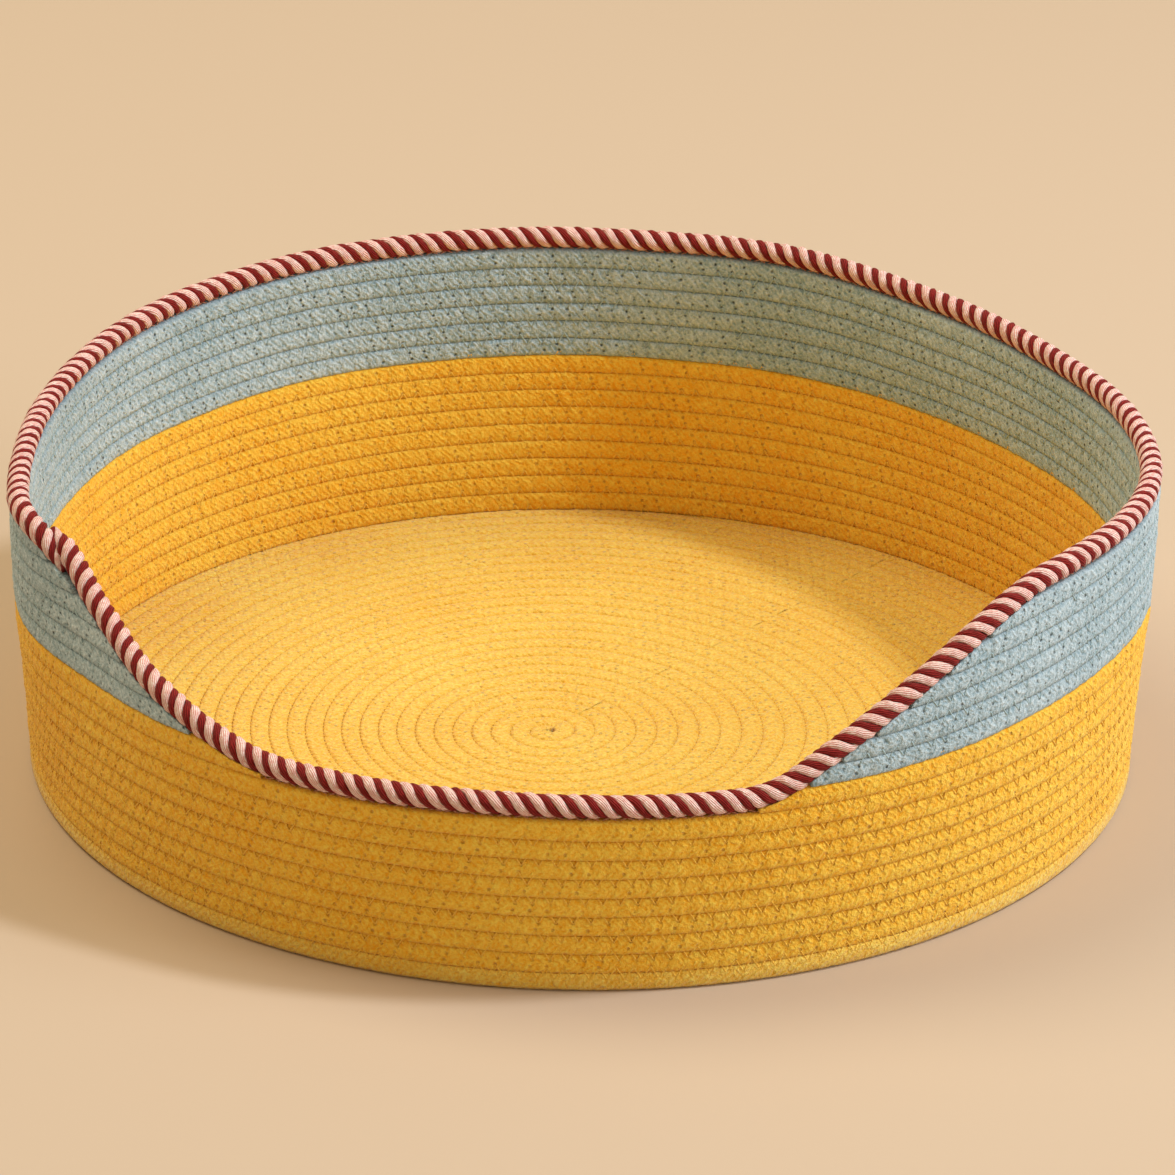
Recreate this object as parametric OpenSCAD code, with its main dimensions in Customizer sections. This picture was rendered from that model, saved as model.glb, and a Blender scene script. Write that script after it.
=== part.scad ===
// Round pet basket of coiled rope: a spiral base, a wall of stacked rows that dips
// at the front, and a thick twisted cord sewn along the whole rim.
// The origin is the middle of the underside, +Z is up, and the dip faces -Y.

/* [Rope] */
// Height of one row of rope, and the spacing of the turns in the base
row_pitch = 8; // [7:0.5:9]
// Thickness of the rope through the wall and through the base
rope_thick = 7.6; // [7:0.1:9]
// Radius of the rope's rounded edges
rope_round = 2.6; // [2:0.1:3]

/* [Base] */
// Turns of rope in the round base
base_turns = 28; // [24:1:32]

/* [Wall] */
// Yellow rows of the wall
yellow_rows = 9; // [9:1:11]
// Blue rows above the yellow ones
blue_rows = 6; // [4:1:8]
// How much wider the wall is above its foot
wall_bulge = 4; // [0:0.5:6]

/* [Dip] */
// Rows left standing along the middle of the front
front_rows = 8; // [5:1:8]
// Angle from the middle of the front to the foot of the left slope
left_foot = 24; // [15:1:35]
// Angle from the middle of the front to the top of the left slope
left_top = 60; // [50:1:75]
// How hollow the left slope is, where 1 is straight
left_sag = 1.35; // [1:0.05:2]
// Angle from the middle of the front to the foot of the right slope
right_foot = 27; // [15:1:35]
// Angle from the middle of the front to the top of the right slope
right_top = 61; // [50:1:75]
// How full the right slope is, where 1 is straight
right_swell = 1.6; // [1:0.05:2]

/* [Rim] */
// Diameter of the twisted rim cord
rim_d = 9.8; // [9:0.2:12]
// Angle from the middle of the front to where the cord's two ends meet
splice_angle = -57; // [-75:1:-50]
// Angle over which the two ends lie side by side
splice_lap = 4; // [3:1:9]

/* [Thread] */
// Thickness of the sewing thread in the seams
thread_d = 0.7; // [0.4:0.1:0.8]

/* [Hidden] */
yellow = "#E2A02C";
blue = "#9DB3B4";
pink = "#D9A39B";
ring_fn = 180;
edge_fn = 12;
rim_r = rim_d / 2;
base_r = base_turns * row_pitch;
wall_rows = yellow_rows + blue_rows;
low_seat = row_bottom(front_rows);
high_seat = row_bottom(wall_rows);
// Depth of a seam thread below the face of the rope
seam_depth = 0.65;
// How far each cord end moves aside where the two lie side by side
splice_shift = rim_r + 0.1;
// Angle over which a cord end comes back to the middle of the wall
splice_blend = 9;
// Angle over which the foot and the top of each slope are rounded off
slope_soften = 3;
// Gap between the cord and the rows that are cut below it
cut_gap = 0.3;
// Thinnest end that a cut row keeps
blunt_end = 1.5;
rim_step = 2.5;
rim_sides = 12;
// Direction of the rim seams as seen from the middle of the cord, below level
rim_seam_angle = -52;

base_names = [for (i = [1:base_turns]) str("base_turn_", two_digits(i))];
yellow_names = [for (i = [1:yellow_rows]) str("yellow_row_", two_digits(i))];
blue_names = [for (i = [1:blue_rows]) str("blue_row_", two_digits(i))];

function two_digits(i) = i < 10 ? str("0", i) : str(i);

// Bottom of a wall row, where row 0 lies on the base
function row_bottom(row) = rope_thick + row * row_pitch;

// Outer radius of the wall at a height
function wall_r(z) = base_r - 0.5 + wall_bulge * min(1, z / low_seat);

function within_one(t) = max(0, min(1, t));

// An even bend from 0 to 1
function bend(t) = within_one(t) * within_one(t) * (3 - 2 * within_one(t));

// Angle from the middle of the front, from -180 to 180
function front_angle(a) = a > 180 ? front_angle(a - 360) : a;

// Height of the dip's edge between the low front, 0, and the high rim, 1
function sharp_rise(a) = a < 0
    ? pow(within_one((-a - left_foot) / (left_top - left_foot)), left_sag)
    : 1 - pow(1 - within_one((a - right_foot) / (right_top - right_foot)), right_swell);

function sum(list, i = 0) = i < len(list) ? list[i] + sum(list, i + 1) : 0;

function rise(a) =
    let (near = [for (d = [-slope_soften:1:slope_soften]) sharp_rise(front_angle(a) + d)])
    sum(near) / len(near);

function rim_z(a) = low_seat + rim_r + (high_seat - low_seat) * rise(a);

function rim_mid_r(a) = wall_r(rim_z(a)) - rope_thick / 2;

// A point at a radius, an angle from the middle of the front, and a height
function around(r, a, z) = [r * sin(a), -r * cos(a), z];

// The cord runs from its inner end once round the rim to its outer end
rim_start = splice_angle - splice_lap / 2;
rim_end = splice_angle + 360 + splice_lap / 2;

// 1 beside the other end of the cord, falling to 0 away from it
function beside(angle_from_end) =
    1 - bend((angle_from_end - splice_lap) / splice_blend);

function side_shift(a) = splice_shift * (beside(rim_end - a) - beside(a - rim_start));

function rim_point(a) = around(rim_mid_r(a) + side_shift(a), a, rim_z(a));

function unit(v) = v / norm(v);

// Outward and upward directions across the cord at an angle
function rim_along(a) = unit(rim_point(a + 0.5) - rim_point(a - 0.5));
function rim_up(a) = unit(cross(around(1, a, 0), rim_along(a)));
function rim_out(a) = cross(rim_along(a), rim_up(a));

// The rope's flattened section, from corner to corner
module rope_section(low, high) {
    size = high - low;
    r = rope_round;
    translate(low + [r, 0]) square([size.x - 2 * r, size.y]);
    translate(low + [0, r]) square([size.x, size.y - 2 * r]);
    for (x = [low.x + r, high.x - r], y = [low.y + r, high.y - r])
        translate([x, y]) circle(r, $fn = edge_fn);
}

// One turn of the base, with the innermost turn closed to a round button
module base_turn(number) {
    outer = number * row_pitch;
    color(yellow)
    rotate_extrude($fn = ring_fn)
        if (number == 1) {
            square([outer - rope_round, rope_thick]);
            rope_section([outer - 3 * rope_round, 0], [outer, rope_thick]);
        } else {
            rope_section([outer - row_pitch, 0], [outer, rope_thick]);
        }
}

// Everything that the dip takes out of the wall, down to the underside of the cord
module dip_cutter() {
    left_end = -left_top - slope_soften;
    right_end = right_top + slope_soften;
    angles = [for (a = [left_end:1:right_end]) a];
    underside = [
        for (a = angles)
        let (middle = rim_point_flat(a))
        let (along = unit(rim_point_flat(a + 0.5) - rim_point_flat(a - 0.5)))
        let (below = middle + (rim_r + cut_gap) * [along.y, -along.x])
        below.y < low_seat + blunt_end ? [below.x, low_seat - blunt_end] : below
    ];
    rotate([90, 0, 0])
    linear_extrude(wall_r(high_seat) + rim_d)
    polygon(concat(
        underside,
        [
            [wall_r(high_seat) * sin(right_end), high_seat + rim_d],
            [wall_r(high_seat) * sin(left_end), high_seat + rim_d]
        ]
    ));
}

// The middle of the cord as seen from the front
function rim_point_flat(a) = [rim_mid_r(a) * sin(a), rim_z(a)];

// One row of the wall, where row 0 lies on the base
module wall_row(row) {
    bottom = row_bottom(row);
    outer = wall_r(bottom + row_pitch / 2);
    difference() {
        rotate_extrude($fn = ring_fn)
            rope_section([outer - rope_thick, bottom], [outer, bottom + row_pitch]);
        if (row >= front_rows) dip_cutter();
    }
}

module yellow_row(number) {
    color(yellow) wall_row(number - 1);
}

module blue_row(number) {
    color(blue) wall_row(yellow_rows + number - 1);
}

// A thread ring that lies in a groove
module thread_ring(r, z) {
    half = thread_d / 2;
    rotate_extrude($fn = ring_fn)
        translate([r, z])
        polygon([[half, 0], [0, half], [-half, 0], [0, -half]]);
}

// Seams of the base, on its upper and lower faces
module base_thread() {
    color(yellow)
    for (turn = [1:base_turns - 1], z = [seam_depth, rope_thick - seam_depth])
        thread_ring(turn * row_pitch, z);
}

// Seams under a run of wall rows, on the inner and outer faces
module wall_seams(first, last) {
    for (row = [first:last]) {
        z = row_bottom(row);
        outer = wall_r(z);
        difference() {
            union() {
                thread_ring(outer - seam_depth, z);
                thread_ring(outer - rope_thick + seam_depth, z);
            }
            if (row >= front_rows) dip_cutter();
        }
    }
}

module yellow_thread() {
    color(yellow) wall_seams(1, yellow_rows - 1);
}

module blue_thread() {
    color(blue) wall_seams(yellow_rows, wall_rows - 1);
}

// A tube along a stretch of the rim, moved outward and upward from the cord's middle
module rim_sweep(first, last, out, up, r, sides) {
    steps = ceil((last - first) / rim_step);
    angles = [for (i = [0:steps]) first + (last - first) * i / steps];
    points = [
        for (a = angles, s = [0:sides - 1])
        rim_point(a)
            + rim_out(a) * (out + r * cos(s * 360 / sides))
            + rim_up(a) * (up + r * sin(s * 360 / sides))
    ];
    walls = [
        for (i = [0:steps - 1], s = [0:sides - 1])
        let (next = (s + 1) % sides)
        [i * sides + s, i * sides + next, (i + 1) * sides + next, (i + 1) * sides + s]
    ];
    ends = [
        [for (s = [sides - 1:-1:0]) s],
        [for (s = [0:sides - 1]) steps * sides + s]
    ];
    polyhedron(points, concat(walls, ends));
}

module rim_cord() {
    color(pink) rim_sweep(rim_start, rim_end, 0, 0, rim_r, rim_sides);
}

// Seams that hold the cord on the wall, left out beside the cord's two ends
module rim_thread() {
    reach = rim_r + thread_d;
    clear = splice_lap + splice_blend;
    color(pink)
    for (side = [-1, 1])
        rim_sweep(
            rim_start + clear, rim_end - clear,
            side * reach * cos(rim_seam_angle), reach * sin(rim_seam_angle),
            thread_d / 2, 4
        );
}

for (i = [1:base_turns])
    base_turn(i);
for (i = [1:yellow_rows])
    yellow_row(i);
for (i = [1:blue_rows])
    blue_row(i);
rim_cord();
base_thread();
yellow_thread();
blue_thread();
rim_thread();
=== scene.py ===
import math

import bpy
import numpy as np
from mathutils import Matrix, Vector


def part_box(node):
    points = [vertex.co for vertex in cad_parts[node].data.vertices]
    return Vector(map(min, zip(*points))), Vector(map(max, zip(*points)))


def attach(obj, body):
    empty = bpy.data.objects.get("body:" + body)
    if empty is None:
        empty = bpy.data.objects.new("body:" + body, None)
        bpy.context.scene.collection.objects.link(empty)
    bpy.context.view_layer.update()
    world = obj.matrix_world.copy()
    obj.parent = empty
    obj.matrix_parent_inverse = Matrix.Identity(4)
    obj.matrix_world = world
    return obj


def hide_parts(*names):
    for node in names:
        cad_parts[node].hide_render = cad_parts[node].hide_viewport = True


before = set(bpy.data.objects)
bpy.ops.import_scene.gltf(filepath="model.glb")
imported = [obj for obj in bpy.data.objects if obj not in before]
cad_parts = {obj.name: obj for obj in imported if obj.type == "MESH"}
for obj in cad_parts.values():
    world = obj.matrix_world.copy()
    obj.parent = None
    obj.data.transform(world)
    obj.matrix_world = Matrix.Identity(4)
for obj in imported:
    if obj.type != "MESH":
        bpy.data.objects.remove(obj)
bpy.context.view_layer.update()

# ---------------------------------------------------------------- sizes, in metres

MM = 0.001
BODY = "root"

base_nodes = sorted(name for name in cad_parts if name.startswith("base_turn_"))
yellow_nodes = sorted(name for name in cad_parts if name.startswith("yellow_row_"))
blue_nodes = sorted(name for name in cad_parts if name.startswith("blue_row_"))
wall_nodes = yellow_nodes + blue_nodes
wall_boxes = [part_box(name) for name in wall_nodes]

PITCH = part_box(base_nodes[0])[1].x            # spacing of the rope's turns and rows
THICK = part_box(base_nodes[0])[1].z            # thickness of the rope
BASE_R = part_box(base_nodes[-1])[1].x
ROW_TOPS = [high.z for low, high in wall_boxes]
ROW_RADII = [max(high.x, high.y) - THICK / 2 for low, high in wall_boxes]
HIGH_SEAT = ROW_TOPS[-1]
RIM_R = (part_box("rim_cord")[1].z - HIGH_SEAT) / 2
FRONT_ROWS = 8                                # rows left standing along the front
LOW_SEAT = ROW_TOPS[FRONT_ROWS - 1]

# The flattened rope
ROPE_POWER = 5.5                              # how square its section is
GROOVE_SHADE_POWER = 6                              # how narrow the painted shade along a groove is
PRESS = 0.34 * MM                             # how far each rope is pressed into its neighbour
FACE_POINTS = 8                               # mesh points across a face that is seen

# The dip: degrees from the front where a slope starts, its width, and the power that bends it
LEFT_SLOPE = (24, 36, 1.35)
RIGHT_SLOPE = (27, 34, 1.6)
SLOPE_SOFTEN = 3                              # degrees over which the slopes' corners are rounded

# The soft basket's stand: humps of millimetres, degrees from the front towards the right,
# and width in degrees
LEAN_HUMPS = ((6, 222, 24), (-2.5, 268, 14), (6.2, 297, 12), (-7.5, 134, 27), (4, 88, 14),
              (-1.5, 60, 14), (-3.5, 311, 8))
SAG_HUMPS = ((-2, 125, 30), (2, 62, 16), (-4, 262, 22), (-2, 225, 20))
FRONT_LIFT = (2.2, -8, 35)                    # whole up to a height, and gone a little above it
LIFT_TOP, LIFT_FADE = 75 * MM, 30 * MM
BACK_SAG = (-6, 190, 80)                      # times up * (1 - up), so mostly half-way up the wall

# The base's spiral
BASE_SHIFT = (-12 * MM, -11 * MM)             # its middle lies off the centre
SPIRAL_START = math.radians(150)
INNERMOST = 0.12                              # pitches from the centre to the rope's first point
STEP_OUT = 0.12                               # part of a turn in which the outer turns step outward

# Sewing: a zigzag over every groove
STITCH = 6.5 * MM                             # from one needle hole to the next on the same row
REACH = 2.6 * MM                              # from the groove to a needle hole
STEPS = 6                                     # mesh columns in one stitch
PHASE = 2 / STEPS                             # each seam's stitches start this much later
SEAM_STITCHES = int(round(math.tau * ROW_RADII[5] / STITCH))
THREAD_R = 0.34 * MM
RIM_THREAD_DEPTH = 1.6 * MM                   # how far the rim's thread is pulled into the rope
COLOUR_SEAM_DEPTH = 0.4 * MM                  # and the thread between the two colours
UNDERSIDE_DEPTH = 0.55 * MM                   # and the base's thread on its underside

# Where the rim cord crosses the wall rows
PRESSING_R = 0.86 * RIM_R                     # a cut top follows this radius round the cord's middle
MOST_RISE = 1.8 * MM                          # and rises at most this far over the edge it lies on
THINNEST = 0.4 * MM                           # a cut row ends where less than this is left of it

# The twisted cord and its two ends, which lap at the left shoulder
LAY = 16.0 * MM                               # length of one full twist
CORD_STEP = 0.9 * MM                          # mesh step along a strand
PINK_STRAND = (math.radians(51), 0.93 * RIM_R, 0.72 * RIM_R)     # half its width, its peak, its sides
RED_STRAND = (math.radians(41), 0.9 * RIM_R, 0.71 * RIM_R)
CORE_R = 0.35                                 # where a strand's inner edge lies, as a share of its peak
SPLICE = math.radians(-56.5)
SPLICE_LAP = math.radians(4)
SPLICE_BLEND = math.radians(8)
RIM_START = SPLICE - SPLICE_LAP / 2
RIM_END = SPLICE + math.tau + SPLICE_LAP / 2
START_SHIFT = 0.85 * RIM_R                    # how far the lower end lies inside the wall's middle
START_TAPER = 12 * MM
END_TAPER = 20 * MM
END_TUCK, END_TUCK_RUN = 3.5 * MM, 14 * MM    # how far the upper end dips, and over what length
END_BULGE = 2.2 * MM                          # how far the cord stands out just before its upper end
BULGE_BEFORE, BULGE_WIDTH = math.radians(7), math.radians(5)

# Seeds of the noise, one family a use
ROUGH_SEED, SWELL_SEED, BASE_SEED, CORD_SEED, STRAND_SEED, LOBE_SEED = 100, 300, 500, 41, 50, 700


# ---------------------------------------------------------------- shape formulas

def smooth(t):
    t = np.clip(t, 0, 1)
    return t * t * (3 - 2 * t)


def wrap(a):
    """An angle from the middle of the front, from -pi to pi."""
    return (np.asarray(a) + math.pi) % (2 * math.pi) - math.pi


def seat_rise(a):
    """The dip's two slopes, each with its own sag: 0 along the low front, 1 on the high rim."""
    degrees = np.degrees(wrap(a))
    start, width, power = LEFT_SLOPE
    left = np.clip((-degrees - start) / width, 0, 1) ** power
    start, width, power = RIGHT_SLOPE
    right = 1 - (1 - np.clip((degrees - start) / width, 0, 1)) ** power
    return left + right


SLOPE_A = np.radians(np.linspace(-90, 90, 721))
NEARBY = np.radians(np.linspace(-SLOPE_SOFTEN, SLOPE_SOFTEN, 13))
SLOPE_RISE = np.mean([seat_rise(SLOPE_A + shift) for shift in NEARBY], axis=0)


def seat_z(a):
    """Height of the edge that the rim cord lies on."""
    rise = np.interp(wrap(a), SLOPE_A, SLOPE_RISE, left=1, right=1)
    return LOW_SEAT + (HIGH_SEAT - LOW_SEAT) * rise


def wall_mid_r(z):
    """Radius of the middle of the wall at a height."""
    middles = [top - PITCH / 2 for top in ROW_TOPS]
    return np.interp(z, middles, ROW_RADII)


def around(r, a, z):
    """Points at a radius, an angle from the middle of the front, and a height."""
    r, a, z = np.broadcast_arrays(r, a, z)
    return np.stack([r * np.sin(a), -r * np.cos(a), z], axis=-1)


def outward(side, a):
    """Level directions at an angle: side 1 points away from the middle, -1 towards it."""
    return around(side, a, 0 * a)


def hump(a, size, centre, width):
    """A smooth hump round an angle; centre and width are in degrees."""
    return size * np.exp(-(wrap(a - math.radians(centre)) / math.radians(width)) ** 2)


def humps(a, table):
    return sum(hump(a, *row) for row in table)


def settle(points):
    """The soft basket's slightly uneven stand: where the wall leans, sags and waves, in
    millimetres that fade to nothing at the foot, and where the spiral's middle lies."""
    p = np.asarray(points, float)
    x, y, z = p[..., 0], p[..., 1], p[..., 2]
    r = np.hypot(x, y)
    a = np.arctan2(x, -y)
    up = smooth((z - THICK) / (HIGH_SEAT - THICK)) ** 1.3
    out = humps(a, LEAN_HUMPS)
    out = out + 0.45 * np.sin(5 * a + 1.0 + 30 * z) + 0.35 * np.sin(11 * a + 2.2 - 60 * z)
    sag = humps(a, SAG_HUMPS)
    sag = sag + hump(a, *FRONT_LIFT) * (1 - smooth((z - LIFT_TOP) / LIFT_FADE))
    sag = sag + up * (1 - up) * hump(a, *BACK_SAG)
    sag = sag + 0.35 * np.sin(7 * a + 0.4) + 0.25 * np.sin(13 * a + 1.9)
    wall = smooth((r - 0.8 * BASE_R) / (0.15 * BASE_R))
    lift = smooth((z - THICK) / (4 * PITCH))
    moved = around(r + out * MM * up * wall, a, z + sag * MM * lift * up)
    inner = 1 - smooth(r / (0.95 * BASE_R))
    low = 1 - smooth((z - THICK) / (2 * PITCH))
    moved[..., 0] += BASE_SHIFT[0] * inner * low
    moved[..., 1] += BASE_SHIFT[1] * inner * low
    return moved


def wavy(u, v, seed, waves=7, longest=40 * MM, shortest=6 * MM):
    """Smooth noise of about -1 to 1 over two lengths in metres."""
    local = np.random.default_rng(seed)
    total = np.zeros(np.broadcast(u, v).shape)
    for i in range(waves):
        length = longest * (shortest / longest) ** (i / (waves - 1))
        turn = local.uniform(0, math.tau)
        total = total + np.sin(
            math.tau * (u * math.cos(turn) + v * math.sin(turn)) / length + local.uniform(0, math.tau)
        )
    return total / math.sqrt(waves) / 1.3


# ---------------------------------------------------------------- meshes

def grid_mesh(name, points, closed, u, v, shade_marks, caps=False, stitches=None, across=None):
    """A tube of rings: points is (rings, sides, 3); u has one value a ring edge, v one a side
    edge. stitches holds the stitch counts of the two seams beside the rope, for each ring edge,
    and across the distance from the rope's middle line, for each side."""
    rings, sides = points.shape[:2]
    spans = rings if closed else rings - 1
    i = np.repeat(np.arange(spans), sides)
    j = np.tile(np.arange(sides), spans)
    i2, j2 = (i + 1) % rings, (j + 1) % sides
    quads = np.stack([i * sides + j, i2 * sides + j, i2 * sides + j2, i * sides + j2], axis=1)
    first = np.arange(sides)
    ends = [first, (rings - 1) * sides + first[::-1]] if caps and not closed else []

    def corner_values(x, y):
        """Values at the corners of every face; x varies along the tube and y round it."""
        def at(ring, side):
            return np.stack([x[ring], side], 1)

        quad = np.stack([at(i, y[j]), at(i + 1, y[j]), at(i + 1, y[j + 1]), at(i, y[j + 1])], axis=1)
        flat = [quad.reshape(-1, 2)]
        if ends:
            flat += [at(0 * first, y[first]), at(0 * first + spans, y[first[::-1]])]
        return np.concatenate(flat)

    layers = {"rope": corner_values(u, v)}
    if stitches is not None:
        low = corner_values(stitches[0], v)[:, 0]
        high = corner_values(stitches[1], v)[:, 0]
        layers["stitch"] = np.stack([low, high], 1)
        middle = corner_values(u, np.append(across, across[0]))[:, 1]
        layers["middle"] = np.stack([middle, middle], 1)
    corners = np.concatenate([quads.ravel()] + ends)
    totals = np.concatenate([np.full(len(quads), 4)] + [[len(end)] for end in ends]).astype(int)
    starts = np.concatenate([[0], np.cumsum(totals)[:-1]])
    return build_mesh(name, points.reshape(-1, 3), corners, starts, totals, layers, shade_marks)


def build_mesh(name, points, corners, starts, totals, layers, shade_marks=None):
    mesh = bpy.data.meshes.new(name)
    mesh.vertices.add(len(points))
    mesh.vertices.foreach_set("co", np.ascontiguousarray(points, np.float32).ravel())
    mesh.loops.add(len(corners))
    mesh.loops.foreach_set("vertex_index", np.ascontiguousarray(corners, np.int32))
    mesh.polygons.add(len(starts))
    mesh.polygons.foreach_set("loop_start", np.ascontiguousarray(starts, np.int32))
    mesh.polygons.foreach_set("loop_total", np.ascontiguousarray(totals, np.int32))
    mesh.polygons.foreach_set("use_smooth", np.ones(len(starts), bool))
    for layer_name, values in layers.items():
        layer = mesh.uv_layers.new(name=layer_name)
        layer.data.foreach_set("uv", np.ascontiguousarray(values, np.float32).ravel())
    # Painted shade: how much of the darker colour goes on each point, along the grooves between ropes and
    # between the cord's strands
    if shade_marks is not None:
        attribute = mesh.attributes.new("painted_shade", "FLOAT", "POINT")
        attribute.data.foreach_set("value", np.ascontiguousarray(shade_marks, np.float32).ravel())
    mesh.update(calc_edges=True)
    mesh.validate()
    thing = bpy.data.objects.new(name, mesh)
    bpy.context.scene.collection.objects.link(thing)
    return thing


def tubes_mesh(name, paths, radius, sides):
    """Many short open threads in one mesh: paths is (threads, points, 3)."""
    count, steps = paths.shape[:2]
    along = np.gradient(paths, axis=1)
    along /= np.linalg.norm(along, axis=2, keepdims=True)
    askew = [0.3, 0.2, 0.93]                  # a direction that no thread runs along
    side = np.cross(along, np.broadcast_to(askew, along.shape))
    side /= np.linalg.norm(side, axis=2, keepdims=True)
    other = np.cross(along, side)
    turn = np.arange(sides) * math.tau / sides
    ring = (
        side[:, :, None, :] * np.cos(turn)[None, None, :, None]
        + other[:, :, None, :] * np.sin(turn)[None, None, :, None]
    )
    points = paths[:, :, None, :] + radius * ring
    t = np.repeat(np.arange(count), (steps - 1) * sides)
    i = np.tile(np.repeat(np.arange(steps - 1), sides), count)
    j = np.tile(np.arange(sides), count * (steps - 1))
    j2 = (j + 1) % sides
    base = t * steps * sides
    quads = np.stack([
        base + i * sides + j, base + (i + 1) * sides + j,
        base + (i + 1) * sides + j2, base + i * sides + j2,
    ], axis=1)
    length = np.linalg.norm(np.diff(paths[0], axis=0), axis=1).sum()
    u, u2 = i / (steps - 1) * length, (i + 1) / (steps - 1) * length
    v, v2 = j / sides * math.tau * radius, (j + 1) / sides * math.tau * radius
    uv = np.stack([
        np.stack([u, v], 1), np.stack([u2, v], 1), np.stack([u2, v2], 1), np.stack([u, v2], 1),
    ], axis=1).reshape(-1, 2)
    return build_mesh(
        name, points.reshape(-1, 3), quads.ravel(),
        np.arange(len(quads)) * 4, np.full(len(quads), 4), {"rope": uv},
    )


# ---------------------------------------------------------------- the rope's section

def rope_section(face_points, back_points):
    """The rope's outline: (out, across) from -1 to 1, the outward face first, then the back."""
    crowding = 1.42                           # near pi / 2, points crowd towards the corners

    def face(count, side):
        across = np.sin(np.linspace(-1, 1, count) * crowding)
        out = side * (1 - np.abs(across) ** ROPE_POWER) ** (1 / ROPE_POWER)
        return np.stack([out, across * side], 1)

    return np.concatenate([face(face_points, 1), [[0, 1]], face(back_points, -1), [[0, -1]]])


def section_normals(section):
    """Directions straight out of the outline."""
    n = np.sign(section) * np.abs(section) ** (ROPE_POWER - 1)
    return n / np.linalg.norm(n, axis=1, keepdims=True)


def section_lengths(section, half_out, half_across):
    """Developed length round the outline, from the middle of its first face."""
    flat = section * [half_out, half_across]
    closed = np.concatenate([flat, flat[:1]])
    lengths = np.concatenate([[0], np.cumsum(np.linalg.norm(np.diff(closed, axis=0), axis=1))])
    first_face = slice(0, 3 + len(flat) // 3)
    return lengths - np.interp(0, flat[first_face, 1], lengths[first_face])


def stitch_dents(part, across, hole):
    """How far the rope is pulled in at a needle hole and under the thread. part counts the
    stitches along the rope, across is the distance from the groove, and hole is the part
    of a stitch where this row's holes lie."""
    hole_length, hole_width, bed_width, bed_share = 0.9 * MM, 0.8 * MM, 0.6 * MM, 0.4
    along = ((part - hole + 0.5) % 1 - 0.5) * STITCH
    holes = np.exp(-(along / hole_length) ** 2 - ((across - REACH) / hole_width) ** 2)
    arm = np.abs(along) - (REACH - across) * (STITCH / 2) / (2 * REACH)
    bed = np.exp(-(arm / bed_width) ** 2) * smooth((REACH + 0.5 * MM - across) / (0.8 * MM))
    return holes + bed_share * bed


# ---------------------------------------------------------------- wall rows

def cut_z(a, out):
    """Where the cord presses into the wall: the top of what is left of a row. out is the
    distance from the middle of the wall's thickness."""
    hollow = RIM_R - np.sqrt(np.maximum(PRESSING_R ** 2 - out ** 2, 0))
    return seat_z(a) + np.minimum(hollow, MOST_RISE)


def row_span(index):
    """Angles between which a wall row runs, round the back, or None where it runs all round."""
    if index < FRONT_ROWS:
        return None
    tall_enough = SLOPE_A[seat_z(SLOPE_A) > ROW_TOPS[index] - PITCH + THINNEST]
    return tall_enough[tall_enough > 0].min(), math.tau + tall_enough[tall_enough < 0].max()


def make_wall_row(index):
    """One row of the wall, cut along the cord where it is higher than the dip."""
    dent_depth, rough_depth, swell_depth = 0.55 * MM, 0.26 * MM, 0.15 * MM
    face_offset, row_offset = 6 * MM, 17 * MM           # so that faces and rows differ in the noise
    name = wall_nodes[index]
    middle_z = ROW_TOPS[index] - PITCH / 2
    middle_r = ROW_RADII[index]
    half_out, half_across = THICK / 2, PITCH / 2 + PRESS
    section = rope_section(FACE_POINTS, FACE_POINTS)
    normals = section_normals(section)
    span = row_span(index)
    columns = SEAM_STITCHES * STEPS
    step = math.tau / columns
    if span is None:
        a = np.arange(columns) * step
    else:
        whole = np.arange(math.ceil(span[0] / step), int(span[1] / step) + 1) * step
        a = np.concatenate([[span[0]], whole, [span[1]]])
    part = a / math.tau * SEAM_STITCHES + index * PHASE
    across = section[None, :, 1] * half_across
    dents = (stitch_dents(part[:, None], across + half_across, 0.0)
             + stitch_dents(part[:, None] + PHASE, half_across - across, 0.5))
    facing = np.abs(normals[None, :, 0])
    length = a[:, None] * middle_r
    side = across + section[None, :, 0] * face_offset + index * row_offset
    rough = wavy(length, side, ROUGH_SEED + index, waves=9, longest=24 * MM, shortest=3 * MM)
    push = (-dent_depth * dents + rough_depth * rough) * facing
    out = section[None, :, 0] * half_out + push * normals[None, :, 0]
    up = across + push * normals[None, :, 1] * 0.5
    swell = wavy(length, 0 * length, SWELL_SEED + index, longest=90 * MM, shortest=25 * MM)
    out = out + swell_depth * swell * np.sign(section[None, :, 0])
    z = np.minimum(middle_z + up, cut_z(a[:, None], out))
    points = settle(around(middle_r + out, a[:, None], z))
    edge_a = np.append(a, math.tau) if span is None else a
    edge_part = edge_a / math.tau * SEAM_STITCHES + index * PHASE
    # Painted shade along the grooves, darkest at the rope's two edges
    shade_marks = np.abs(section[None, :, 1]) ** GROOVE_SHADE_POWER * np.ones_like(z)
    v = section_lengths(section, half_out, half_across)
    row = grid_mesh(
        "rope_" + name, points, span is None, edge_a * middle_r, v, shade_marks, caps=True,
        stitches=(edge_part, edge_part + PHASE + 0.5), across=section[:, 1] * half_across,
    )
    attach(row, BODY)
    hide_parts(name)
    # Yellow rows take the deeper orange copy of the yellow rope, leaning to painted shade
    row.data.materials.append(shaded_wall_cotton if index < len(yellow_nodes) else blue_rope)


# ---------------------------------------------------------------- base turns

def spiral_r(turns):
    """Radius of the rope's middle after a number of turns from the centre. The outer turns
    are rounder: they do most of their step outward in the first part of each turn."""
    part = turns % 1
    rounder = turns / len(base_nodes) * (smooth(part / STEP_OUT) - part)
    return PITCH * (np.maximum(turns, INNERMOST) + rounder)


def seam_count(turn):
    """Stitches in the seam round a base turn."""
    return max(5, int(round(math.tau * turn * PITCH / STITCH)))


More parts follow.
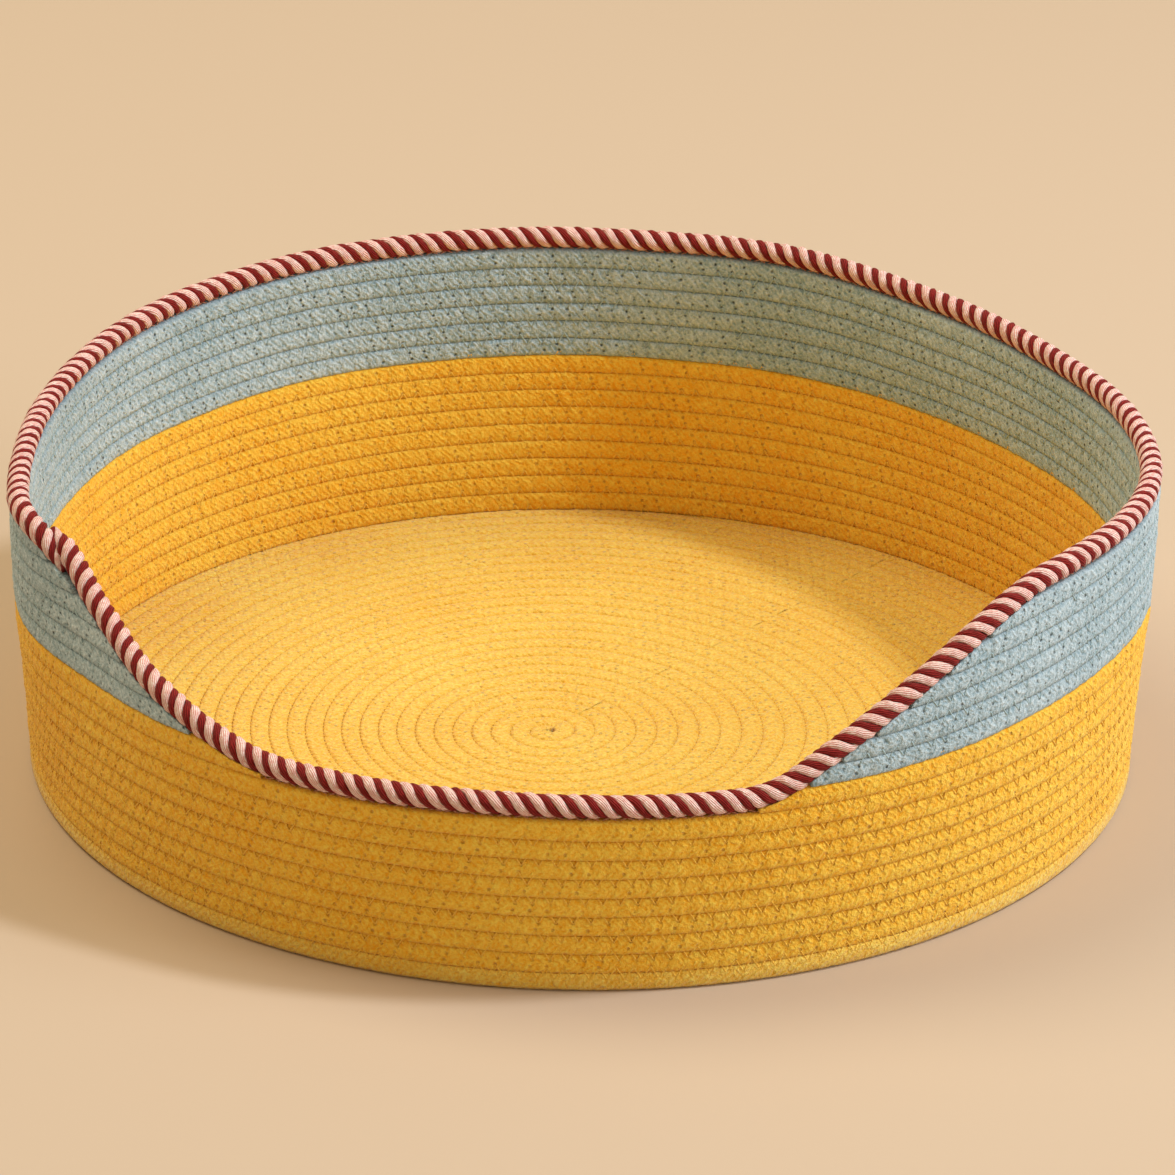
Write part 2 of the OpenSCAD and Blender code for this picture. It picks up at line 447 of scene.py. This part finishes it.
def make_base_turn(number):
    """One turn of the flat spiral, from its inner end to its outer end. The last turn runs
    on for STEP_OUT of a turn, where it tapers away along the edge."""
    # The last of these sets how strong the painted shade along the base's grooves is
    dent_depth, rough_depth, base_groove_shade = 0.22 * MM, 0.14 * MM, 0.6
    name = base_nodes[number - 1]
    first, last = number == 1, number == len(base_nodes)
    columns = seam_count(number) * STEPS * (2 if first else 1)
    if last:
        columns = int(columns * (1 + STEP_OUT))
    t = np.linspace(0, 1 + STEP_OUT * last, columns + 1)
    turns = number - 1 + t
    a = math.tau * t + SPIRAL_START
    middle = spiral_r(turns)
    half_up, half_across = THICK / 2, PITCH / 2 + PRESS
    section = rope_section(FACE_POINTS, FACE_POINTS // 2)
    normals = section_normals(section)
    inner = np.minimum(middle - half_across, BASE_R - 2 * PRESS)
    outer = np.minimum(middle + half_across, BASE_R)
    centre, half = (inner + outer) / 2, (outer - inner) / 2
    across = section[None, :, 1] * half[:, None]
    outer_part = t * seam_count(number)
    inner_part = t * seam_count(max(1, number - 1))
    dents = stitch_dents(outer_part[:, None], half[:, None] - across, 0.0) * (not last)
    dents = dents + stitch_dents(inner_part[:, None], half[:, None] + across, 0.5) * (not first)
    facing = np.abs(normals[None, :, 0])
    length = math.tau * PITCH * (turns ** 2 / 2)[:, None]
    rough = wavy(length, across + 50 * MM * number, BASE_SEED, longest=30 * MM, shortest=3.5 * MM)
    push = (-dent_depth * dents + rough_depth * rough) * facing
    up = section[None, :, 0] * half_up + push * normals[None, :, 0]
    z = np.maximum(THICK / 2 + up, 0)
    points = settle(around(centre[:, None] + across, a[:, None], z))
    # Painted shade along the grooves; the last turn has no neighbour outside it, so its outer side gets
    # none
    shade_marks = base_groove_shade * np.abs(section[None, :, 1]) ** GROOVE_SHADE_POWER * np.ones_like(z)
    if last:
        shade_marks = shade_marks * (section[None, :, 1] < 0)
    v = section_lengths(section, half_up, half_across)
    turn = grid_mesh(
        "rope_" + name, points, False, length[:, 0], v, shade_marks, caps=first or last,
        stitches=(inner_part + 0.5, outer_part), across=section[:, 1] * half_across,
    )
    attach(turn, BODY)
    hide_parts(name)
    # The base takes the paler copy of the yellow rope, painted light
    turn.data.materials.append(lit_base_cotton)


# ---------------------------------------------------------------- zigzag threads

def stitch_path(hole_from, hole_to, out_from, out_to, lift):
    """Five points of one thread from a needle hole, over the groove, into the next hole."""
    share = np.array([0.0, 0.16, 0.5, 0.84, 1.0])[None, :, None]
    height = np.array([-0.8, -0.24, -0.7, -0.24, -0.8])[None, :, None] * MM + lift
    line = hole_from[:, None, :] * (1 - share) + hole_to[:, None, :] * share
    away = out_from[:, None, :] * (1 - share) + out_to[:, None, :] * share
    return line + away * height


def half_stitches():
    """Round a wall seam: each half stitch's number, and how many stitches come before it."""
    halves = np.arange(2 * SEAM_STITCHES)
    return halves, halves / 2


def wall_seam_paths(seam, side):
    """Threads of one wall seam on one face: side 1 is the outside, -1 the inside."""
    z = ROW_TOPS[seam] - PITCH
    halves, part = half_stitches()
    a = (part - seam * PHASE) / SEAM_STITCHES * math.tau
    a2 = a + math.tau / SEAM_STITCHES / 2
    high = halves % 2 == 0
    r = wall_mid_r(z) + side * THICK / 2
    here = around(r, a, np.where(high, z + REACH, z - REACH))
    there = around(r, a2, np.where(high, z - REACH, z + REACH))
    lift = -COLOUR_SEAM_DEPTH if seam == len(yellow_nodes) else 0
    paths = stitch_path(here, there, outward(side, a), outward(side, a2), lift)
    room = np.minimum(seat_z(a), seat_z(a2))
    return paths[room > z + REACH]


def rim_seam_paths(side):
    """Short threads on one face from the top row up into the underside of the cord, all round
    but for the splice."""
    halves, part = half_stitches()
    a = part / SEAM_STITCHES * math.tau
    a2 = a + math.tau / SEAM_STITCHES / 2
    below, above = -0.3 * MM, 1.4 * MM
    low = halves % 2 == 0

    def hole(angle, height):
        seat = seat_z(angle)
        return around(wall_mid_r(seat) + side * (THICK / 2 - RIM_THREAD_DEPTH), angle, seat + height)

    here, there = hole(a, np.where(low, below, above)), hole(a2, np.where(low, above, below))
    paths = stitch_path(here, there, outward(side, a), outward(side, a2), 0)
    return paths[np.abs(wrap(a - SPLICE)) > SPLICE_LAP + SPLICE_BLEND / 2]


def base_seam_paths(turn, side):
    """Threads between a base turn and the next: side 1 is the upper face, -1 the lower."""
    count = seam_count(turn)
    halves = np.arange(2 * count)
    t = halves / 2 / count
    t2 = t + 0.5 / count
    out_first = halves % 2 == 1

    def hole(part, beyond):
        r = spiral_r(turn - 1 + part) + PITCH / 2 + np.where(beyond, REACH, -REACH)
        z = np.full_like(r, THICK if side > 0 else 0.0)
        return around(r, math.tau * part + SPIRAL_START, z)

    up = np.broadcast_to([0, 0, float(side)], (len(halves), 3))
    lift = 0 if side > 0 else -UNDERSIDE_DEPTH
    return stitch_path(hole(t, out_first), hole(t2, ~out_first), up, up, lift)


def make_threads(name, node, paths, material, sides=5):
    """All the threads of a group of seams, as one piece."""
    thread = tubes_mesh(name, settle(np.concatenate(paths)), THREAD_R, sides)
    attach(thread, BODY)
    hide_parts(node)
    thread.data.materials.append(material)


# ---------------------------------------------------------------- rim cord

def rim_line(a):
    """The middle of the rim cord at an angle. The lower end starts inside the wall's middle,
    and the upper end is tucked down outside it."""
    z = seat_z(a) + RIM_R - END_TUCK * (1 - smooth((RIM_END - a) * BASE_R / END_TUCK_RUN))
    shift = END_BULGE * np.exp(-((RIM_END - a - BULGE_BEFORE) / BULGE_WIDTH) ** 2)
    shift = shift - START_SHIFT * (1 - smooth((a - RIM_START - SPLICE_LAP / 2) / SPLICE_BLEND))
    return settle(around(wall_mid_r(z) + shift, a, z))


def make_strand(name, middle_turn, half_width, peak, valley, material, slot_name):
    """One strand of the twisted cord: a rounded lobe that winds round the cord's middle."""
    fine_steps = 6000                         # for measuring lengths along the cord
    dense = np.linspace(RIM_START, RIM_END, fine_steps)
    line = rim_line(dense)
    run = np.concatenate([[0], np.cumsum(np.linalg.norm(np.diff(line, axis=0), axis=1))])
    total = run[-1]
    s = np.linspace(0, total, int(total / CORD_STEP))
    a = np.interp(s, run, dense)
    middle = rim_line(a)
    nearby = 0.004                            # radians along the cord, for its direction
    along = rim_line(a + nearby) - rim_line(a - nearby)
    along /= np.linalg.norm(along, axis=1, keepdims=True)
    up = np.cross(outward(1, a), along)
    up /= np.linalg.norm(up, axis=1, keepdims=True)
    out = np.cross(along, up)
    together = wavy(s, 0 * s, CORD_SEED, longest=120 * MM, shortest=14 * MM)
    own_seed = int(STRAND_SEED + 10 * middle_turn)
    alone = wavy(s, 0 * s, own_seed, waves=9, longest=40 * MM, shortest=3 * MM)
    shared_sway, own_sway = 0.16, 0.13        # radians
    turn = middle_turn - math.tau * s / LAY + shared_sway * together + own_sway * alone
    lobe_points, crowding = 11, 1.45
    lobe = np.sin(np.linspace(-1, 1, lobe_points) * crowding)
    lobe = lobe / lobe[-1]
    angle = lobe * half_width
    radius = valley + (peak - valley) * np.sqrt(np.clip(1 - lobe ** 2, 0, 1))
    angle = np.concatenate([angle, [half_width * 0.9, -half_width * 0.9]])
    radius = np.concatenate([radius, [CORE_R * peak, CORE_R * peak]])
    own_seed = int(LOBE_SEED + middle_turn * 10)
    swell = wavy(s[:, None], angle[None, :] * 5 * MM, own_seed, longest=25 * MM, shortest=3 * MM)
    swell = 1 + 0.045 * swell
    taper = 0.45 + 0.55 * smooth(s / START_TAPER)
    taper = taper * (0.4 + 0.6 * smooth((total - s) / END_TAPER))
    beta = turn[:, None] + angle[None, :]
    reach = radius[None, :] * swell * taper[:, None]
    points = (
        middle[:, None, :]
        + out[:, None, :] * (reach * np.cos(beta))[..., None]
        + up[:, None, :] * (reach * np.sin(beta))[..., None]
    )
    v = np.append(beta[0] - beta[0, 0], 2 * half_width) * peak
    # Painted shade: 1 where the strand sinks lowest, at its edges and inner side, 0 at its crest
    shade_marks = 1 - (radius - radius.min()) / (radius.max() - radius.min())
    shade_marks = np.broadcast_to(shade_marks, points.shape[:2])
    strand = grid_mesh(name, points, False, s, v, shade_marks, caps=True)
    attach(strand, BODY)
    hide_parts("rim_cord")
    strand.data.materials.append(material)


# ---------------------------------------------------------------- materials

def srgb(r, g, b):
    """A colour of 0 to 255 a channel, as linear values for a shader."""
    def linear(c):
        c = c / 255
        return c / 12.92 if c <= 0.04045 else ((c + 0.055) / 1.055) ** 2.4
    return (linear(r), linear(g), linear(b), 1)


class Nodes:
    """Short calls for a material's node tree."""

    def __init__(self, name):
        self.material = bpy.data.materials.new(name)
        self.material.use_nodes = True
        self.tree = self.material.node_tree
        self.shader = self.tree.nodes["Principled BSDF"]

    def add(self, kind, **settings):
        node = self.tree.nodes.new(kind)
        for key, value in settings.items():
            setattr(node, key, value)
        return node

    def link(self, source, target):
        self.tree.links.new(source, target)

    def put(self, socket, value):
        if isinstance(value, bpy.types.NodeSocket):
            self.link(value, socket)
        else:
            socket.default_value = value

    def maths(self, operation, first, second=0.0, third=None):
        node = self.add("ShaderNodeMath", operation=operation)
        self.put(node.inputs[0], first)
        self.put(node.inputs[1], second)
        if third is not None:
            self.put(node.inputs[2], third)
        return node.outputs[0]

    def noise(self, vector, scale, detail=2.0, roughness=0.5):
        node = self.add("ShaderNodeTexNoise")
        self.link(vector, node.inputs["Vector"])
        node.inputs["Scale"].default_value = scale
        node.inputs["Detail"].default_value = detail
        node.inputs["Roughness"].default_value = roughness
        return node.outputs["Fac"]

    def mix(self, factor, first, second):
        node = self.add("ShaderNodeMix", data_type="RGBA")
        self.put(node.inputs[0], factor)
        self.put(node.inputs[6], first)
        self.put(node.inputs[7], second)
        return node.outputs[2]

    def spread(self, value, low, high):
        """0 where the value is low, 1 where it is high."""
        node = self.add("ShaderNodeMapRange")
        self.link(value, node.inputs["Value"])
        node.inputs["From Min"].default_value = low
        node.inputs["From Max"].default_value = high
        return node.outputs[0]

    def uv(self, layer):
        """The two values of a UV map."""
        parts = self.add("ShaderNodeSeparateXYZ")
        self.link(self.add("ShaderNodeUVMap", uv_map=layer).outputs[0], parts.inputs[0])
        return parts.outputs[0], parts.outputs[1]

    def place(self):
        return self.add("ShaderNodeTexCoord").outputs["Object"]

    def wave(self, value, length):
        """A sine of 0 to 1 with the given wavelength."""
        sine = self.maths("SINE", self.maths("MULTIPLY", value, math.tau / length))
        return self.maths("MULTIPLY_ADD", sine, 0.5, 0.5)

    def surface(self, colour, roughness, sheen, specular):
        self.link(colour, self.shader.inputs["Base Color"])
        self.shader.inputs["Roughness"].default_value = roughness
        self.shader.inputs["Sheen Weight"].default_value = sheen
        self.shader.inputs["Specular IOR Level"].default_value = specular

    def relief(self, height, strength, distance):
        bump = self.add("ShaderNodeBump")
        bump.inputs["Strength"].default_value = strength
        bump.inputs["Distance"].default_value = distance
        self.link(height, bump.inputs["Height"])
        self.link(bump.outputs[0], self.shader.inputs["Normal"])


def cotton(name, shade_colour, plain, light, hole_shade_amount, groove_shade_amount, sheen):
    """Stitched cotton rope: an uneven braid, needle holes beside the grooves, fuzzy all over, with
    painted shade in the grooves and in the needle holes.
    """
    n = Nodes(name)
    place = n.place()
    along, around_rope = n.uv("rope")
    low_part, high_part = n.uv("stitch")
    across = n.uv("middle")[0]

    wander = n.maths("MULTIPLY_ADD", n.noise(place, 280, 2), 5 * MM, -2.5 * MM)
    chevron = n.maths("ADD", n.maths("ADD", along, n.maths("ABSOLUTE", around_rope)), wander)
    strand = n.wave(chevron, 3.1 * MM)
    grain = n.noise(place, 900, 3, 0.7)
    fibres = n.noise(place, 2800, 3, 0.65)
    lumps = n.noise(place, 400, 2, 0.6)
    drift = n.noise(place, 14, 2, 0.5)

    def hole(part, line):
        """1 in a needle hole of the seam on one side of the rope, 0 outside it."""
        turns = n.maths("FRACT", n.maths("ADD", part, 0.5))
        x = n.maths("MULTIPLY_ADD", turns, STITCH, -0.5 * STITCH)
        y = n.maths("ADD", across, line)
        wobble = n.maths("MULTIPLY_ADD", grain, 0.8 * MM, -0.4 * MM)
        x, y = n.maths("ADD", x, wobble), n.maths("SUBTRACT", y, wobble)
        square = n.maths("ADD", n.maths("MULTIPLY", x, x), n.maths("MULTIPLY", y, y))
        return n.spread(n.maths("SQRT", square), 0.85 * MM, 0.3 * MM)

    needle = PITCH / 2 - REACH
    holes = n.maths("MAXIMUM", hole(low_part, needle), hole(high_part, -needle))
    uneven = n.spread(n.noise(place, 90, 2), 0.35, 0.62)
    holes = n.maths("MULTIPLY", holes, uneven)

    tone = n.maths("MULTIPLY_ADD", strand, 0.1, n.maths("MULTIPLY", grain, 0.8))
    tone = n.maths("MULTIPLY_ADD", fibres, 0.3, tone)
    tone = n.maths("MULTIPLY_ADD", lumps, 0.5, tone)
    tone = n.maths("MULTIPLY_ADD", drift, 0.25, tone)
    body = n.mix(n.spread(tone, 0.775, 1.225), plain, light)
    # Painted shade: the darker colour mixed in along the grooves
    painted_shade = n.add("ShaderNodeAttribute", attribute_name="painted_shade").outputs["Fac"]
    body = n.mix(n.maths("MULTIPLY", painted_shade, groove_shade_amount), body, shade_colour)
    # Painted shade in the needle holes
    body = n.mix(n.maths("MULTIPLY", holes, hole_shade_amount), body, shade_colour)
    n.surface(body, roughness=0.92, sheen=sheen, specular=0.2)
    height = n.maths("MULTIPLY_ADD", strand, 0.42, n.maths("MULTIPLY", grain, 1.5))
    height = n.maths("MULTIPLY_ADD", fibres, 0.35, height)
    height = n.maths("MULTIPLY_ADD", lumps, 2.6, height)
    height = n.maths("MULTIPLY_ADD", holes, -1.6, height)
    n.relief(height, strength=0.9, distance=0.55 * MM)
    return n.material


def sewing_thread(name, plain, light):
    """Twisted thread, a little shiny, in two close colours."""
    n = Nodes(name)
    along, around_thread = n.uv("rope")
    ply = n.wave(n.maths("ADD", along, around_thread), 0.9 * MM)
    uneven = n.noise(n.place(), 500, 2)
    body = n.mix(n.maths("MULTIPLY_ADD", ply, 0.5, n.maths("MULTIPLY", uneven, 0.5)), plain, light)
    n.surface(body, roughness=0.62, sheen=0.2, specular=0.5)
    n.relief(ply, strength=0.6, distance=0.12 * MM)
    return n.material


def cord_yarn(name, shade_colour, plain, light, mottle):
    """A strand of the rim cord: fine yarns that run almost along the cord, mottled in colour, with
    painted shade along its ragged edges and inner side.
    """
    n = Nodes(name)
    place = n.place()
    along, around_strand = n.uv("rope")
    lean = n.maths("MULTIPLY_ADD", along, -0.55, around_strand)
    warp = n.maths("MULTIPLY", n.noise(place, 350, 2), 0.7 * MM)
    yarn = n.wave(n.maths("ADD", lean, warp), 1.15 * MM)
    fleck = n.noise(place, 560, 4, 0.75)
    fibres = n.noise(place, 2600, 3, 0.6)
    tone = n.maths("MULTIPLY_ADD", yarn, 0.45, n.maths("MULTIPLY", fleck, 1.3 * mottle))
    tone = n.maths("MULTIPLY_ADD", fibres, 0.25, tone)
    body = n.mix(n.spread(tone, 0.3 + 0.45 * mottle, 0.5 + 0.85 * mottle), plain, light)
    painted_shade = n.add("ShaderNodeAttribute", attribute_name="painted_shade").outputs["Fac"]
    # Painted shade towards the strand's edges, with a ragged border
    ragged_shade = n.maths("ADD", painted_shade, n.maths("MULTIPLY_ADD", n.noise(place, 700, 3, 0.6), 1.5, -0.75))
    body = n.mix(n.maths("MULTIPLY", n.spread(ragged_shade, 0.45, 0.95), 0.8), body, shade_colour)
    n.surface(body, roughness=0.88, sheen=0.06, specular=0.2)
    height = n.maths("MULTIPLY_ADD", yarn, 0.7, n.maths("MULTIPLY", fibres, 0.5))
    n.relief(height, strength=0.9, distance=0.5 * MM)
    return n.material


# The one yellow rope in two copies: the walls' copy is deeper orange with less blue, leaning to painted
# shade, and the base's copy is paler and more lemon, painted light, with weaker painted shade in its
# grooves and holes
shaded_wall_cotton = cotton("yellow_cotton_rope_painted_shade", srgb(168, 90, 4), srgb(242, 168, 8), srgb(255, 224, 92),
                     hole_shade_amount=0.44, groove_shade_amount=0.34, sheen=0.15)
lit_base_cotton = cotton("yellow_base_rope_painted_lit", srgb(166, 94, 12), srgb(234, 171, 28), srgb(248, 225, 110),
                   hole_shade_amount=0.28, groove_shade_amount=0.22, sheen=0.35)
blue_rope = cotton("blue_cotton_rope", srgb(60, 80, 90), srgb(128, 160, 174), srgb(213, 232, 241),
                   hole_shade_amount=1.0, groove_shade_amount=0.6, sheen=0.25)
yellow_thread = sewing_thread("yellow_sewing_thread", srgb(228, 168, 34), srgb(248, 208, 74))
blue_thread = sewing_thread("blue_sewing_thread", srgb(134, 164, 172), srgb(182, 206, 212))
rim_thread = sewing_thread("rim_sewing_thread", srgb(176, 112, 88), srgb(206, 146, 118))
red_yarn = cord_yarn("red_cord_yarn", srgb(48, 6, 6), srgb(100, 8, 9), srgb(156, 36, 32), 0.7)
pink_yarn = cord_yarn("pink_cord_yarn", srgb(150, 52, 46), srgb(226, 154, 146), srgb(255, 244, 238), 0.9)


# ---------------------------------------------------------------- the basket

for number in range(1, len(base_nodes) + 1):
    make_base_turn(number)
for index in range(len(wall_nodes)):
    make_wall_row(index)

for first, last in ((1, 14), (15, 20), (21, 24), (25, 27)):
    top = [base_seam_paths(turn, 1) for turn in range(first, last + 1)]
    make_threads(f"thread_base_top_{first:02d}", "base_thread", top, yellow_thread)
for first, last in ((1, 19), (20, 27)):
    under = [base_seam_paths(turn, -1) for turn in range(first, last + 1)]
    make_threads(f"thread_base_under_{first:02d}", "base_thread", under, yellow_thread, 4)

# The seam under the first blue row is the last of the yellow groups
for colour, groups, shift, look in (
    ("yellow", ((0, 3), (4, 6), (7, 9)), 1, yellow_thread),
    ("blue", ((10, 11), (12, 14)), -9, blue_thread),
):
    for first, last in groups:
        paths = [wall_seam_paths(seam, side) for seam in range(first, last + 1) for side in (1, -1)]
        thread_node = colour + "_thread"
        make_threads(f"thread_{colour}_{first + shift:02d}", thread_node, paths, look)

for i in range(2):
    make_strand(f"rim_strand_pink_{i + 1}", i * math.pi, *PINK_STRAND, pink_yarn, "rim_cord")
    make_strand(f"rim_strand_red_{i + 1}", (i + 0.5) * math.pi, *RED_STRAND, red_yarn, "rim_cord")
make_threads("thread_rim", "rim_thread", [rim_seam_paths(1), rim_seam_paths(-1)], rim_thread)


# ---------------------------------------------------------------- camera, floor and light

TURN = math.radians(8)                        # the dip faces a little to the viewer's left


def turned(x, y, z):
    """A place beside the viewer, turned into the basket's own directions."""
    return (x * math.cos(TURN) - y * math.sin(TURN), x * math.sin(TURN) + y * math.cos(TURN), z)


def make_camera():
    """A long lens in front of the basket and above it; angles are in radians."""
    distance, height_angle = 2.7, 0.4431      # from the middle of the base
    yaw, pitch, roll = 0.0009, 0.4204, 0.0121
    forward = Vector((math.sin(yaw) * math.cos(pitch), math.cos(yaw) * math.cos(pitch), -math.sin(pitch)))
    right = forward.cross(Vector((0, 0, 1))).normalized()
    up = right.cross(forward)
    right_rolled = math.cos(roll) * right + math.sin(roll) * up
    up_rolled = -math.sin(roll) * right + math.cos(roll) * up
    columns = [turned(*right_rolled), turned(*up_rolled), turned(*(-forward))]
    place = turned(0, -distance * math.cos(height_angle), distance * math.sin(height_angle))
    data = bpy.data.cameras.new("camera")
    data.lens = 202.46
    data.sensor_width = 36
    data.clip_end = 20
    camera = bpy.data.objects.new("camera", data)
    bpy.context.scene.collection.objects.link(camera)
    camera.matrix_world = Matrix.Translation(place) @ Matrix(columns).transposed().to_4x4()
    bpy.context.scene.camera = camera


def make_floor():
    mesh = bpy.data.meshes.new("floor")
    size = 6
    corners = [(-size, -size, 0), (size, -size, 0), (size, size, 0), (-size, size, 0)]
    mesh.from_pydata(corners, [], [(0, 1, 2, 3)])
    floor = bpy.data.objects.new("floor", mesh)
    bpy.context.scene.collection.objects.link(floor)
    n = Nodes("pale_floor")
    n.shader.inputs["Base Color"].default_value = srgb(192, 174, 154)
    n.shader.inputs["Roughness"].default_value = 0.75
    mesh.materials.append(n.material)
    floor.location.z = -0.2 * MM


def make_light(name, azimuth, elevation, distance, size, power, colour):
    """An area light that faces the basket; azimuth 0 is the viewer's right, 90 behind the basket."""
    a, e = math.radians(azimuth), math.radians(elevation)
    level = distance * math.cos(e)
    place = Vector(turned(level * math.cos(a), level * math.sin(a), distance * math.sin(e)))
    data = bpy.data.lights.new(name, "AREA")
    data.shape = "DISK"
    data.size = size
    data.energy = power
    data.color = colour
    lamp = bpy.data.objects.new(name, data)
    bpy.context.scene.collection.objects.link(lamp)
    lamp.location = place
    lamp.rotation_mode = "QUATERNION"
    lamp.rotation_quaternion = (-place).to_track_quat("-Z", "Y")


make_camera()
make_floor()
make_light("key", -2, 56, 3.2, 0.42, 50, (0.96, 1.0, 1.07))
make_light("side", -12, 24, 3.0, 1.6, 38, (0.97, 1.0, 1.06))
make_light("fill", 150, 62, 3.0, 2.2, 50, (1.0, 0.86, 0.6))

world = bpy.data.worlds.new("studio")
world.use_nodes = True
world.node_tree.nodes["Background"].inputs[0].default_value = (1.0, 0.79, 0.52, 1)
world.node_tree.nodes["Background"].inputs[1].default_value = 0.52
bpy.context.scene.world = world
bpy.context.scene.view_settings.view_transform = "Standard"
